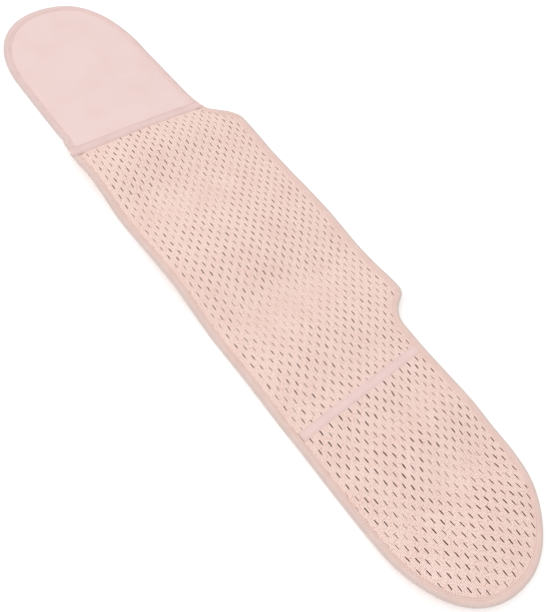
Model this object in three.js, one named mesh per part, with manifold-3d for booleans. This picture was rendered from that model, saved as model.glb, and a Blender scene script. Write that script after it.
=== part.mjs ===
// A postpartum belly band, lying open on a flat surface: a smooth fastening tongue, one long perforated
// panel that is wide over the belly and narrower at its rounded tail, folded bindings and two sewn tapes.
// Millimetres, +Z up. +X runs along the band to the tail, +Y to the wide upper edge, and the origin is on
// the surface, below the middle of the band.

import * as THREE from 'three';
import { mergeGeometries, mergeVertices } from 'three/addons/utils/BufferGeometryUtils.js';
import Module from 'manifold-3d';

// Lengths along the band
const tongueLength = 265;
const centreLength = 439;
const tailLength = 247.5;

// Widths across the band. All edges are measured from the straight lower edge.
const centreWidth = 243;
const tailWidth = 212;
const tongueWidth = 194;
const tongueInset = 6;
const tongueFlare = 5;
const joinInset = 3;

// Rounded ends, as superellipse corners: 2 is an ellipse, more is squarer
const tongueCapLength = 130;
const tongueTipRise = 16;
const tongueLowerFullness = 2.15;
const tongueUpperFullness = 2.4;
const tailCapLength = 122;
const tailLowerFullness = 2.2;
const tailUpperFullness = 1.95;

// The shoulder up to the wide edge, which starts on the tongue, and the step down before the tail
const shoulderLead = 15;
const shoulderAngle = THREE.MathUtils.degToRad(52);
const shoulderInnerRadius = 22;
const shoulderOuterRadius = 34;
const stepGap = 34;
const stepAngle = THREE.MathUtils.degToRad(60);
const stepOuterRadius = 12;
const stepInnerRadius = 28;

// The sewn join leans: its upper end lies nearer to the tip of the tongue. The stations beside it lean with
// it, less and less, and past the reach they are square to the band.
const seamLean = 11.5;
const leanReach = 60;

// Cloth thicknesses, and the gap that keeps neighbouring solids apart
const tongueThickness = 2.4;
const panelThickness = 3;
const pressedThickness = 1.8;
const clearance = 0.3;

// Folded binding
const bindingWidth = 10;
const bindingWall = 0.8;
const edgeRamp = 3;

// Sewn tapes
const joinTapeWidth = 14;
const tailTapeWidth = 11.5;
const tailTapeShift = -1.8;
const tapeThickness = 0.8;

// Slits. The cloth has one at every place of a staggered lattice, and this model cuts an even share of them.
const slitLength = 6.4;
const slitWidth = 1.1;
const slitPitch = 14.5;
const slitMargin = 17;
const slitRoom = 1;
const cutterHeight = 4 * panelThickness;
const cutEvery = { columns: 5, rows: 3 };

// Waves of the lying cloth. Each row is a place along the band, as a share of its length, with the heights
// at the lower edge, in the middle and at the upper edge, as shares of the highest wave.
const waveHeight = 13;
const waves = [
  { along: 0.000, low: 0.00, mid: 0.00, high: 0.00 },
  { along: 0.222, low: 0.00, mid: 0.00, high: 0.00 },
  { along: 0.275, low: 0.46, mid: 0.54, high: 0.23 },
  { along: 0.298, low: 0.62, mid: 0.85, high: 0.46 },
  { along: 0.321, low: 0.85, mid: 1.00, high: 0.65 },
  { along: 0.352, low: 0.65, mid: 0.50, high: 0.62 },
  { along: 0.390, low: 0.15, mid: 0.27, high: 0.46 },
  { along: 0.504, low: 0.65, mid: 0.81, high: 0.69 },
  { along: 0.595, low: 0.00, mid: 0.12, high: 0.38 },
  { along: 0.656, low: 0.15, mid: 0.58, high: 0.73 },
  { along: 0.710, low: 0.00, mid: 0.15, high: 0.38 },
  { along: 0.748, low: 0.08, mid: 0.35, high: 0.23 },
  { along: 0.786, low: 0.04, mid: 0.00, high: 0.35 },
  { along: 0.824, low: 0.04, mid: 0.38, high: 0.33 },
  { along: 0.877, low: 0.23, mid: 0.06, high: 0.00 },
  { along: 0.946, low: 0.72, mid: 0.89, high: 0.38 },
  { along: 1.000, low: 0.72, mid: 0.72, high: 0.15 },
];

// How a tape that crosses the bindings comes down inside them, as shares of the binding's width, and where a
// tape that stops between the bindings ends
const tapeHighUntil = 1.15;
const tapeDownFrom = 1.5;
const tapeEnd = 1.03;

// Fineness of the facets
const longestStep = 13;
const shortestStep = 0.5;
const capSteps = 11;
const bendSteps = 3;
const panelSteps = 4;
const tapeSteps = 12;
const leanSteps = 12;

// Half the length over which the slope of an edge is measured, and the distance at which points are one
const slopeReach = 0.05;
const samePlace = 1e-4;

// Places worked out from the sizes
const bandLength = tongueLength + centreLength + tailLength;
const tongueTipX = -bandLength / 2;
const joinX = tongueTipX + tongueLength;
const tailX = joinX + centreLength;
const tailTipX = bandLength / 2;
const bottom = -Math.max(centreWidth, tailWidth, tongueInset + tongueWidth + tongueFlare) / 2;
const tongueBottom = bottom + tongueInset;
const tongueTop = tongueBottom + tongueWidth;
const tongueTipY = (tongueBottom + tongueTop) / 2 + tongueTipRise;
const tailTipY = bottom + tailWidth / 2;
const bindingThickness = pressedThickness + 2 * (clearance + bindingWall);
const middleHeight = bindingThickness / 2;
const seatInset = bindingWall + clearance;
const shoulderX = joinX - shoulderLead;

// An S-shaped bend in an edge: an arc, a straight slope and an arc. The arcs shrink where the rise is small.
function makeBend(start, rise, angle, firstRadius, lastRadius) {
  const size = Math.abs(rise);
  const turn = 1 - Math.cos(angle);
  const fit = Math.min(1, size / ((firstRadius + lastRadius) * turn));
  const first = firstRadius * fit;
  const last = lastRadius * fit;
  const slope = (size - (first + last) * turn) / Math.tan(angle);
  const length = (first + last) * Math.sin(angle) + slope;
  const riseAt = (x) => {
    const u = x - start;
    if (u <= 0) return 0;
    if (u >= length) return rise;
    const up = first * Math.sin(angle);
    const over = length - last * Math.sin(angle);
    let height = first * turn + (u - up) * Math.tan(angle);
    if (u < up) height = first - Math.sqrt(first ** 2 - u ** 2);
    if (u > over) height = size - last + Math.sqrt(last ** 2 - (length - u) ** 2);
    return Math.sign(rise) * height;
  };
  const places = [];
  for (let i = 0; i <= bendSteps; i++) {
    const part = Math.sin((angle * i) / bendSteps);
    places.push(start + first * part, start + length - last * part);
  }
  return { length, riseAt, places };
}

const shoulderRise = bottom + centreWidth - tongueTop - tongueFlare;
const shoulder = makeBend(shoulderX, shoulderRise, shoulderAngle, shoulderInnerRadius, shoulderOuterRadius);
const stepRise = tailWidth - centreWidth;
const stepLength = makeBend(0, stepRise, stepAngle, stepOuterRadius, stepInnerRadius).length;
const step = makeBend(tailX - stepGap - stepLength, stepRise, stepAngle, stepOuterRadius, stepInnerRadius);

// How much of its full width a rounded end has at this distance from its tip
function capShare(distance, capLength, fullness) {
  const u = 1 - THREE.MathUtils.clamp(distance / capLength, 0, 1);
  return Math.pow(1 - Math.pow(u, fullness), 1 / fullness);
}

function lowerEdge(x, side) {
  if (side < 0) {
    const share = capShare(x - tongueTipX, tongueCapLength, tongueLowerFullness);
    const flared = THREE.MathUtils.smoothstep(x, shoulderX - shoulderLead, shoulderX);
    return THREE.MathUtils.lerp(tongueTipY, tongueBottom, share) - (tongueInset - joinInset) * flared;
  }
  const share = capShare(tailTipX - x, tailCapLength, tailLowerFullness);
  return THREE.MathUtils.lerp(tailTipY, bottom, share);
}

function upperEdge(x) {
  const flareStart = tongueTipX + tongueCapLength;
  const flared = THREE.MathUtils.clamp((x - flareStart) / (shoulderX - flareStart), 0, 1);
  const tongueShare = capShare(x - tongueTipX, tongueCapLength, tongueUpperFullness);
  const tailShare = capShare(tailTipX - x, tailCapLength, tailUpperFullness);
  let y = THREE.MathUtils.lerp(tongueTipY, tongueTop, tongueShare);
  y += tongueFlare * flared + shoulder.riseAt(x) + step.riseAt(x);
  return THREE.MathUtils.lerp(tailTipY, y, tailShare);
}

// Where a station meets the upper edge. It is level with the lower edge, save beside the leaning join.
function leaned(x) {
  return x - seamLean * (1 - THREE.MathUtils.smoothstep(Math.abs(x - joinX), 0, leanReach));
}

// The station that meets the upper edge at this place, closed in on step by step
function stationFor(upperX) {
  let x = upperX;
  for (let i = 0; i < leanSteps; i++) x = upperX + x - leaned(x);
  return x;
}

// Slopes of the waves at each row, level at crests and troughs, so that no wave swings past its rows
function waveSlopes(column) {
  return waves.map((row, i) => {
    if (i === 0 || i === waves.length - 1) return 0;
    const before = (row[column] - waves[i - 1][column]) / (row.along - waves[i - 1].along);
    const after = (waves[i + 1][column] - row[column]) / (waves[i + 1].along - row.along);
    return before * after > 0 ? (2 * before * after) / (before + after) : 0;
  });
}

const slopes = { low: waveSlopes('low'), mid: waveSlopes('mid'), high: waveSlopes('high') };

function waveShare(along, column) {
  let i = 0;
  while (i < waves.length - 2 && waves[i + 1].along < along) i++;
  const from = waves[i];
  const to = waves[i + 1];
  const span = to.along - from.along;
  const t = THREE.MathUtils.clamp((along - from.along) / span, 0, 1);
  const ease = t * t * (3 - 2 * t);
  const lead = slopes[column][i] * span * t * (1 - t) ** 2;
  const trail = slopes[column][i + 1] * span * t ** 2 * (1 - t);
  return from[column] * (1 - ease) + to[column] * ease + lead - trail;
}

// Height of the cloth's underlying surface over the ground
function waveAt(x, y) {
  const along = (x - tongueTipX) / bandLength;
  const middle = bottom + centreWidth / 2;
  const low = waveShare(along, 'low');
  const mid = waveShare(along, 'mid');
  const high = waveShare(along, 'high');
  const down = THREE.MathUtils.smoothstep(middle - y, 0, centreWidth / 2);
  const up = THREE.MathUtils.smoothstep(y - middle, 0, centreWidth / 2);
  return waveHeight * (mid + (low - mid) * down + (high - mid) * up);
}

// A point of the cloth, from its place in plan and its lift off the middle of the cloth's thickness
function place(x, y, lift) {
  return new THREE.Vector3(x, y, middleHeight + waveAt(x, y) + lift);
}

// Places along the band between two ends, with all given places and no gap longer than the longest step
function stationsBetween(start, end, places) {
  const inside = places.filter((x) => x > start + 2 * shortestStep && x < end - 2 * shortestStep);
  const fixed = [start, ...inside.sort((a, b) => a - b), end];
  const stations = [start];
  for (let i = 1; i < fixed.length; i++) {
    const count = Math.ceil((fixed[i] - fixed[i - 1]) / longestStep);
    for (let k = 1; k <= count; k++) {
      const x = THREE.MathUtils.lerp(fixed[i - 1], fixed[i], k / count);
      if (x - stations[stations.length - 1] > shortestStep) stations.push(x);
    }
  }
  return stations;
}

function capPlaces(tipX, capLength, direction) {
  const places = [];
  for (let i = 1; i <= capSteps; i++) {
    places.push(tipX + direction * capLength * (1 - Math.cos((Math.PI / 2) * (i / capSteps))));
  }
  return places;
}

function slopeOf(edgeAt, x, reach) {
  return (edgeAt(x + reach) - edgeAt(x - reach)) / (2 * reach);
}

// The two edges at one station, each with its point and the way into the cloth. The way in is square to the
// edge in the rounded ends, where both edges meet in the tip. Elsewhere it runs along the station, and is
// longer where the edge slopes.
function edgePair(x, side) {
  const tipX = side < 0 ? tongueTipX : tailTipX;
  const tipY = side < 0 ? tongueTipY : tailTipY;
  const capLength = side < 0 ? tongueCapLength : tailCapLength;
  if (Math.abs(x - tipX) < samePlace) {
    const tip = { point: new THREE.Vector2(tipX, tipY), inward: new THREE.Vector2(-side, 0) };
    return { lower: tip, upper: tip };
  }
  const square = Math.abs(x - tipX) < capLength;
  const reach = Math.min(slopeReach, Math.abs(x - tipX) / 2);
  const lowerAt = (place) => lowerEdge(place, side);
  const lower = new THREE.Vector2(x, lowerAt(x));
  const upper = new THREE.Vector2(leaned(x), upperEdge(leaned(x)));
  const across = upper.clone().sub(lower).normalize();
  const wayIn = (edgeAt, at, turn) => {
    const normal = new THREE.Vector2(-turn * slopeOf(edgeAt, at, reach), turn).normalize();
    const along = across.clone().multiplyScalar(turn);
    return square ? normal : along.divideScalar(along.dot(normal));
  };
  return {
    lower: { point: lower, inward: wayIn(lowerAt, lower.x, 1) },
    upper: { point: upper, inward: wayIn(upperEdge, upper.x, -1) },
  };
}

// The stations of one part of the band, from its seam to its tip
function pairsOf(side) {
  const bends = [...shoulder.places, ...step.places].map(stationFor);
  if (side < 0) {
    const caps = capPlaces(tongueTipX, tongueCapLength, 1);
    const xs = stationsBetween(tongueTipX, joinX - clearance / 2, [...caps, ...bends]);
    return xs.reverse().map((x) => edgePair(x, side));
  }
  const caps = capPlaces(tailTipX, tailCapLength, -1);
  const xs = stationsBetween(joinX + clearance / 2, tailTipX, [...caps, ...bends, tailX]);
  return xs.map((x) => edgePair(x, side));
}

function inset(edge, distance) {
  return edge.point.clone().addScaledVector(edge.inward, distance);
}

// A closed solid through a row of sections. The points of each section run round it, and point i lies
// across from point n - 1 - i, so that each end closes as a strip. Equal points are merged, and triangles
// without an area are dropped, so a section may also fold onto itself.
function loft(sections) {
  const count = sections[0].length;
  const points = sections.flat();
  const index = [];
  const quad = (a, b, c, d) => index.push(a, b, c, a, c, d);
  for (let s = 0; s < sections.length - 1; s++) {
    for (let i = 0; i < count; i++) {
      const next = (i + 1) % count;
      quad(s * count + i, s * count + next, (s + 1) * count + next, (s + 1) * count + i);
    }
  }
  const last = (sections.length - 1) * count;
  for (let i = 0; i < count / 2 - 1; i++) {
    quad(i, count - 1 - i, count - 2 - i, i + 1);
    quad(last + i, last + i + 1, last + count - 2 - i, last + count - 1 - i);
  }
  const coordinates = new Float32Array(points.flatMap((point) => point.toArray()));
  const loose = new THREE.BufferGeometry();
  loose.setAttribute('position', new THREE.BufferAttribute(coordinates, 3));
  loose.setIndex(index);
  return faceOut(dropFlat(mergeVertices(loose, samePlace)));
}

function dropFlat(geometry) {
  const index = geometry.getIndex().array;
  const kept = [];
  const folded = new Map();
  for (let i = 0; i < index.length; i += 3) {
    const [a, b, c] = [index[i], index[i + 1], index[i + 2]];
    if (a === b || b === c || c === a) continue;
    const key = [a, b, c].sort((p, q) => p - q).join(' ');
    folded.set(key, (folded.get(key) ?? 0) + 1);
    kept.push({ key, corners: [a, b, c] });
  }
  const single = kept.filter((triangle) => folded.get(triangle.key) === 1);
  geometry.setIndex(single.flatMap((triangle) => triangle.corners));
  return geometry;
}

// Turns the faces outward, by the sign of the enclosed volume
function faceOut(geometry) {
  const position = geometry.getAttribute('position');
  const index = geometry.getIndex();
  const corner = [new THREE.Vector3(), new THREE.Vector3(), new THREE.Vector3()];
  let volume = 0;
  for (let i = 0; i < index.count; i += 3) {
    corner.forEach((point, k) => point.fromBufferAttribute(position, index.getX(i + k)));
    volume += corner[0].dot(corner[1].clone().cross(corner[2]));
  }
  if (volume < 0) index.array.reverse();
  return geometry;
}

// A cloth panel: full thickness inside, pressed flat where the binding grips its edge
function panelGeometry(pairs, thickness) {
  const rings = [
    { distance: seatInset, half: pressedThickness / 2 },
    { distance: bindingWidth + clearance, half: pressedThickness / 2 },
    { distance: bindingWidth + edgeRamp, half: thickness / 2 },
  ];
  const sections = pairs.map(({ lower, upper }) => {
    const row = rings.map((ring) => ({ at: inset(lower, ring.distance), half: ring.half }));
    const [start, end] = [lower, upper].map((edge) => inset(edge, bindingWidth + edgeRamp));
    for (let i = 1; i < panelSteps; i++) {
      row.push({ at: start.clone().lerp(end, i / panelSteps), half: thickness / 2 });
    }
    rings.toReversed().forEach((ring) => row.push({ at: inset(upper, ring.distance), half: ring.half }));
    const top = row.map(({ at, half }) => place(at.x, at.y, half));
    const under = row.map(({ at, half }) => place(at.x, at.y, -half));
    return [...top, ...under.reverse()];
  });
  return loft(sections);
}

// A binding folded over the edge, as a channel swept from the seam round the tip and back to the seam
function bindingGeometry(pairs) {
  const half = bindingThickness / 2;
  const inner = half - bindingWall;
  const channel = [
    { distance: bindingWidth, lift: half },
    { distance: bindingWall, lift: half },
    { distance: 0, lift: 0 },
    { distance: bindingWall, lift: -half },
    { distance: bindingWidth, lift: -half },
    { distance: bindingWidth, lift: -inner },
    { distance: bindingWall, lift: -inner },
    { distance: bindingWall, lift: 0 },
    { distance: bindingWall, lift: inner },
    { distance: bindingWidth, lift: inner },
  ];
  const lowers = pairs.map((pair) => pair.lower);
  const uppers = pairs.slice(0, -1).map((pair) => pair.upper);
  const path = [...lowers, ...uppers.reverse()];
  return loft(path.map((edge) => channel.map(({ distance, lift }) => {
    const at = inset(edge, distance);
    return place(at.x, at.y, lift);
  })));
}

// Width of the binding measured straight across the band, where its edge slopes
function bindingAcross(x) {
  return bindingWidth * Math.sqrt(1 + slopeOf(upperEdge, x, slopeReach) ** 2);
}

// A sewn tape across the band. It lies on the panels, and where it crosses a binding it climbs over it.
function tapeGeometry(middleX, width, lean, overBindings) {
  const onPanel = panelThickness / 2 + clearance;
  const onBinding = bindingThickness / 2 + clearance;
  const ends = [-1, 1].map((hand) => {
    const x = middleX + (hand * width) / 2;
    const low = hand < 0 && overBindings ? bindingWidth + joinInset : bindingWidth;
    return { x, from: lowerEdge(x, 1), to: upperEdge(x - lean), low, high: bindingAcross(x - lean) };
  });
  const rows = [];
  if (overBindings) {
    rows.push({ low: 0, lift: onBinding }, { low: tapeHighUntil, lift: onBinding });
    rows.push({ low: tapeDownFrom, lift: onPanel });
  } else {
    rows.push({ low: tapeEnd, lift: onPanel });
  }
  const highs = rows.map((row) => ({ high: row.low, lift: row.lift })).reverse();
  const first = rows[rows.length - 1].low;
  for (let i = 1; i < tapeSteps; i++) rows.push({ share: i / tapeSteps, first, lift: onPanel });
  rows.push(...highs);
  const yAt = (end, row) => {
    if (row.low !== undefined) return end.from + row.low * end.low;
    if (row.high !== undefined) return end.to - row.high * end.high;
    return THREE.MathUtils.lerp(end.from + row.first * end.low, end.to - row.first * end.high, row.share);
  };
  const pointAt = (end, row, lift) => {
    const y = yAt(end, row);
    return place(end.x - (lean * (y - end.from)) / (end.to - end.from), y, lift);
  };
  const sections = rows.map((row) => {
    const under = ends.map((end) => pointAt(end, row, row.lift));
    const top = ends.map((end) => pointAt(end, row, row.lift + tapeThickness));
    return [under[0], under[1], top[1], top[0]];
  });
  return loft(sections);
}

// The shortest distance from a place to the edge of a part of the band, its seam included
function makeEdgeDistance(pairs) {
  const lowers = pairs.map((pair) => pair.lower.point);
  const uppers = pairs.map((pair) => pair.upper.point);
  const outline = [...lowers, ...uppers.reverse()];
  const sides = outline.map((point, i) => {
    const next = outline[(i + 1) % outline.length];
    return new THREE.Line3(new THREE.Vector3(point.x, point.y, 0), new THREE.Vector3(next.x, next.y, 0));
  });
  const nearest = new THREE.Vector3();
  return (x, y) => {
    const at = new THREE.Vector3(x, y, 0);
    return Math.min(...sides.map((side) => side.closestPointToPoint(at, true, nearest).distanceTo(at)));
  };
}

// Cutters for the slits that this model cuts: an even share of the lattice, clear of the binding
function slitCutters(pairs) {
  const edgeDistance = makeEdgeDistance(pairs);
  const room = bindingWidth + edgeRamp + slitLength / 2 + slitRoom;
  const halfPitch = slitPitch / 2;
  const columns = Math.ceil(bandLength / (halfPitch * cutEvery.columns));
  const rows = Math.ceil(centreWidth / (slitPitch * cutEvery.rows));
  const cutters = [];
  for (let c = -columns; c <= columns; c++) {
    const x = tailX + c * cutEvery.columns * halfPitch;
    if (x < joinX + room || x > tailTipX - room) continue;
    const shift = Math.abs((c * cutEvery.columns) % 2) === 1 ? 0 : slitPitch * cutEvery.rows / 2;
    for (let r = 0; r <= rows; r++) {
      const y = bottom + slitMargin + shift + r * cutEvery.rows * slitPitch;
      if (y > upperEdge(x) - bindingWidth || y < lowerEdge(x, 1) || edgeDistance(x, y) < room) continue;
      const cutter = new THREE.BoxGeometry(slitLength, slitWidth, cutterHeight);
      cutter.translate(x, y, place(x, y, 0).z);
      cutters.push(cutter);
    }
  }
  return mergeGeometries(cutters);
}

const wasm = await Module();
wasm.setup();

function toSolid(geometry) {
  const plain = geometry.clone();
  plain.deleteAttribute('normal');
  plain.deleteAttribute('uv');
  const merged = mergeVertices(plain, samePlace);
  return new wasm.Manifold(new wasm.Mesh({
    numProp: 3,
    vertProperties: new Float32Array(merged.getAttribute('position').array),
    triVerts: new Uint32Array(merged.getIndex().array),
  }));
}

function fromSolid(solid) {
  const mesh = solid.getMesh();
  const geometry = new THREE.BufferGeometry();
  geometry.setAttribute('position', new THREE.BufferAttribute(mesh.vertProperties, 3));
  geometry.setIndex(new THREE.BufferAttribute(mesh.triVerts, 1));
  return geometry;
}

function makeMesh(name, geometry, color, roughness) {
  geometry.computeVertexNormals();
  const material = new THREE.MeshStandardMaterial({ color, roughness, metalness: 0 });
  const mesh = new THREE.Mesh(geometry, material);
  mesh.name = name;
  return mesh;
}

const tonguePairs = pairsOf(-1);
const panelPairs = pairsOf(1);
const panelSolid = toSolid(panelGeometry(panelPairs, panelThickness));
const pierced = fromSolid(panelSolid.subtract(toSolid(slitCutters(panelPairs))));

const band = new THREE.Group();
band.add(makeMesh('fastening_tongue', panelGeometry(tonguePairs, tongueThickness), '#f0d3ce', 0.6));
band.add(makeMesh('perforated_panel', pierced, '#f3d6ca', 0.9));
band.add(makeMesh('tongue_binding', bindingGeometry(tonguePairs), '#efcfcb', 0.85));
band.add(makeMesh('body_binding', bindingGeometry(panelPairs), '#ebccc1', 0.85));
band.add(makeMesh('join_tape', tapeGeometry(joinX, joinTapeWidth, seamLean, true), '#efd0d1', 0.8));
band.add(makeMesh('tail_tape', tapeGeometry(tailX + tailTapeShift, tailTapeWidth, 0, false), '#efd0d3', 0.8));

export default band;
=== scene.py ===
# A postpartum belly band lying open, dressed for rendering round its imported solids.
# Sizes are in millimetres, as in the solids. Meshes are made in metres.

import math

import bpy
import numpy as np
from mathutils.kdtree import KDTree
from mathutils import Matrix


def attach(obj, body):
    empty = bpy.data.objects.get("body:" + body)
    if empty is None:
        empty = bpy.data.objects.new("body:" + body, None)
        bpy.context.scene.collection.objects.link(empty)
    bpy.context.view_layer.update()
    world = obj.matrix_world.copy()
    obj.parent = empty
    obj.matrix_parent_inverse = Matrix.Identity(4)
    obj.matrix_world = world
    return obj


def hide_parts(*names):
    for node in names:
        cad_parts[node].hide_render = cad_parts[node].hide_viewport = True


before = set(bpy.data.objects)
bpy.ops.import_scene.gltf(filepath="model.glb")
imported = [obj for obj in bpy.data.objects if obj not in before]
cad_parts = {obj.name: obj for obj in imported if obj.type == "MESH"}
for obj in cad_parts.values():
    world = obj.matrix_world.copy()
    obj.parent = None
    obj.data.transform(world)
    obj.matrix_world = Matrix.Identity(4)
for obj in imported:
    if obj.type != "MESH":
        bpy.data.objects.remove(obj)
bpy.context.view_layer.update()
print("frame loaded:", ", ".join(sorted(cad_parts)))

millimetre = 0.001


def linear(hexColour):  # sRGB hex to the linear colour that the nodes take
    parts = [int(hexColour[i : i + 2], 16) / 255 for i in (1, 3, 5)]
    return [c / 12.92 if c <= 0.04045 else ((c + 0.055) / 1.055) ** 2.4 for c in parts] + [1]


def addNode(tree, kind, inputs=None, **settings):  # a node with its settings, values and links
    node = tree.nodes.new(kind)
    for name, value in settings.items():
        setattr(node, name, value)
    for key, value in (inputs or {}).items():
        if isinstance(value, bpy.types.NodeSocket):
            tree.links.new(value, node.inputs[key])
        else:
            node.inputs[key].default_value = value
    return node


def addObject(name, data):
    thing = bpy.data.objects.new(name, data)
    bpy.context.scene.collection.objects.link(thing)
    return thing


# Camera, found from the slit lattice in the photo

view = {
    "place": (268.7, -380.8, 571.2),
    "turn": (31.61, -15.0, 50.19),  # degrees about X, Y and Z
    "lens": 34.73,  # mm, for a 36 mm sensor on the long side
    "farEnd": 20.0,  # m
}

cameraData = bpy.data.cameras.new("photoCamera")
cameraData.lens = view["lens"]
cameraData.clip_end = view["farEnd"]
camera = addObject("photoCamera", cameraData)
camera.location = [c * millimetre for c in view["place"]]
camera.rotation_euler = [math.radians(a) for a in view["turn"]]
bpy.context.scene.camera = camera
bpy.context.scene.view_settings.view_transform = "Standard"


# Shape of the band in plan, as in the solids

band = {
    "tongueLength": 265,
    "centreLength": 439,
    "tailLength": 247.5,
    "centreWidth": 243,
    "tailWidth": 212,
    "tongueWidth": 194,
    "tongueInset": 6,
    "tongueFlare": 5,
    "joinInset": 3,
    "tongueCap": 130,
    "tongueTipRise": 16,
    "tongueFullness": (2.15, 2.4),  # lower and upper corner
    "tailCap": 122,
    "tailFullness": (2.2, 1.95),
    "shoulderLead": 15,
    "shoulderBend": (52, 22, 34),  # degrees, first radius, last radius
    "stepGap": 34,
    "stepBend": (60, 12, 28),
    "seamLean": 11.5,  # how much nearer to the tongue's tip the join's upper end lies
    "seamGap": 0.3,
    "middleHeight": 2.0,  # of the cloth's middle over the floor
}

tongueTipX = -(band["tongueLength"] + band["centreLength"] + band["tailLength"]) / 2
tailTipX = -tongueTipX
joinX = tongueTipX + band["tongueLength"]
tailX = joinX + band["centreLength"]
bottom = -band["centreWidth"] / 2
tongueBottom = bottom + band["tongueInset"]
tongueTop = tongueBottom + band["tongueWidth"]
tongueTipY = (tongueBottom + tongueTop) / 2 + band["tongueTipRise"]
tailTipY = bottom + band["tailWidth"] / 2
shoulderX = joinX - band["shoulderLead"]


def ease(t):
    t = np.clip(t, 0, 1)
    return t * t * (3 - 2 * t)


def makeBend(start, rise, bend):  # an arc, a slope and an arc, as (length, its rise at x)
    angle, firstRadius, lastRadius = math.radians(bend[0]), bend[1], bend[2]
    turn = 1 - math.cos(angle)
    fit = min(1, abs(rise) / ((firstRadius + lastRadius) * turn))
    first, last = firstRadius * fit, lastRadius * fit
    slope = (abs(rise) - (first + last) * turn) / math.tan(angle)
    length = (first + last) * math.sin(angle) + slope

    def riseAt(x):
        u = np.clip(np.asarray(x, float) - start, 0, length)
        up, over = first * math.sin(angle), length - last * math.sin(angle)
        height = first * turn + (u - up) * math.tan(angle)
        early = first - np.sqrt(np.maximum(first**2 - np.minimum(u, up) ** 2, 0))
        late = abs(rise) - last + np.sqrt(np.maximum(last**2 - (length - np.maximum(u, over)) ** 2, 0))
        return math.copysign(1, rise) * np.where(u < up, early, np.where(u > over, late, height))

    return length, riseAt


shoulderRise = band["centreWidth"] - band["tongueInset"] - band["tongueWidth"] - band["tongueFlare"]
stepRise = band["tailWidth"] - band["centreWidth"]
_, shoulderAt = makeBend(shoulderX, shoulderRise, band["shoulderBend"])
stepLength, _ = makeBend(0, stepRise, band["stepBend"])
_, stepAt = makeBend(tailX - band["stepGap"] - stepLength, stepRise, band["stepBend"])


def capShare(distance, capLength, fullness):
    u = 1 - np.clip(distance / capLength, 0, 1)
    return (1 - u**fullness) ** (1 / fullness)


def lowerEdge(x, side):
    x = np.asarray(x, float)
    if side < 0:
        share = capShare(x - tongueTipX, band["tongueCap"], band["tongueFullness"][0])
        flared = ease((x - shoulderX + band["shoulderLead"]) / band["shoulderLead"])
        out = (band["tongueInset"] - band["joinInset"]) * flared
        return tongueTipY + (tongueBottom - tongueTipY) * share - out
    share = capShare(tailTipX - x, band["tailCap"], band["tailFullness"][0])
    return tailTipY + (bottom - tailTipY) * share


def upperEdge(x):
    x = np.asarray(x, float)
    flareStart = tongueTipX + band["tongueCap"]
    flared = np.clip((x - flareStart) / (shoulderX - flareStart), 0, 1)
    share = capShare(x - tongueTipX, band["tongueCap"], band["tongueFullness"][1])
    y = tongueTipY + (tongueTop - tongueTipY) * share
    y = y + band["tongueFlare"] * flared + shoulderAt(x) + stepAt(x)
    tailShare = capShare(tailTipX - x, band["tailCap"], band["tailFullness"][1])
    return tailTipY + (y - tailTipY) * tailShare


seamTopX = joinX - band["seamLean"]
seamHeight = float(upperEdge(seamTopX)) - bottom


def seamAt(y):  # where the leaning join crosses this place across the band
    return joinX - band["seamLean"] * (y - bottom) / seamHeight


# Waves of the lying cloth: place along the band, then height at the lower edge, in the middle and at
# the upper edge, as shares of the highest wave

waveHeight = 13
waves = np.array([
    (0.000, 0.00, 0.00, 0.00),
    (0.222, 0.00, 0.00, 0.00),
    (0.275, 0.46, 0.54, 0.23),
    (0.298, 0.62, 0.85, 0.46),
    (0.321, 0.85, 1.00, 0.65),
    (0.352, 0.65, 0.50, 0.62),
    (0.390, 0.15, 0.27, 0.46),
    (0.504, 0.65, 0.81, 0.69),
    (0.595, 0.00, 0.12, 0.38),
    (0.656, 0.15, 0.58, 0.73),
    (0.710, 0.00, 0.15, 0.38),
    (0.748, 0.08, 0.35, 0.23),
    (0.786, 0.04, 0.00, 0.35),
    (0.824, 0.04, 0.38, 0.33),
    (0.877, 0.23, 0.06, 0.00),
    (0.946, 0.72, 0.89, 0.38),
    (1.000, 0.72, 0.72, 0.15),
])


def waveSlopes(column):
    span = np.diff(waves[:, 0])
    step = np.diff(waves[:, column]) / span
    slopes = np.zeros(len(waves))
    turning = step[1:] * step[:-1] > 0
    both = np.where(turning, step[1:] + step[:-1], 1)
    slopes[1:-1] = np.where(turning, 2 * step[1:] * step[:-1] / both, 0)
    return slopes


def waveShare(along, column):
    i = np.clip(np.searchsorted(waves[:, 0], along) - 1, 0, len(waves) - 2)
    span = waves[i + 1, 0] - waves[i, 0]
    t = np.clip((along - waves[i, 0]) / span, 0, 1)
    slopes = waveSlopes(column)
    level = waves[i, column] * (1 - ease(t)) + waves[i + 1, column] * ease(t)
    lean = slopes[i] * t * (1 - t) ** 2 - slopes[i + 1] * t**2 * (1 - t)
    return level + lean * span


ripple = {"height": 0.5, "lengths": (61, 43, 97), "lean": (0.4, -0.7, 0.2)}  # soft unevenness


def clothHeight(x, y):  # of the cloth's middle, in mm
    along = (x - tongueTipX) / (tailTipX - tongueTipX)
    low, mid, high = (waveShare(along, column) for column in (1, 2, 3))
    half = band["centreWidth"] / 2
    middleY = bottom + half
    wave = mid + (low - mid) * ease((middleY - y) / half) + (high - mid) * ease((y - middleY) / half)
    uneven = sum(
        np.sin(2 * math.pi * (x + lean * y) / length)
        for length, lean in zip(ripple["lengths"], ripple["lean"])
    )
    rippled = 0.5 + uneven / (2 * len(ripple["lengths"]))
    return band["middleHeight"] + waveHeight * wave + ripple["height"] * rippled


# The edge of one part of the band, from its seam along the lower edge, round the tip and back

outline = {
    "tipSteps": 900,
    "straightSteps": 1200,
    "tangentReach": 1.5,
    "seamReach": 25,  # how far from the join the binding's way in still leans with it
}


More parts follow.
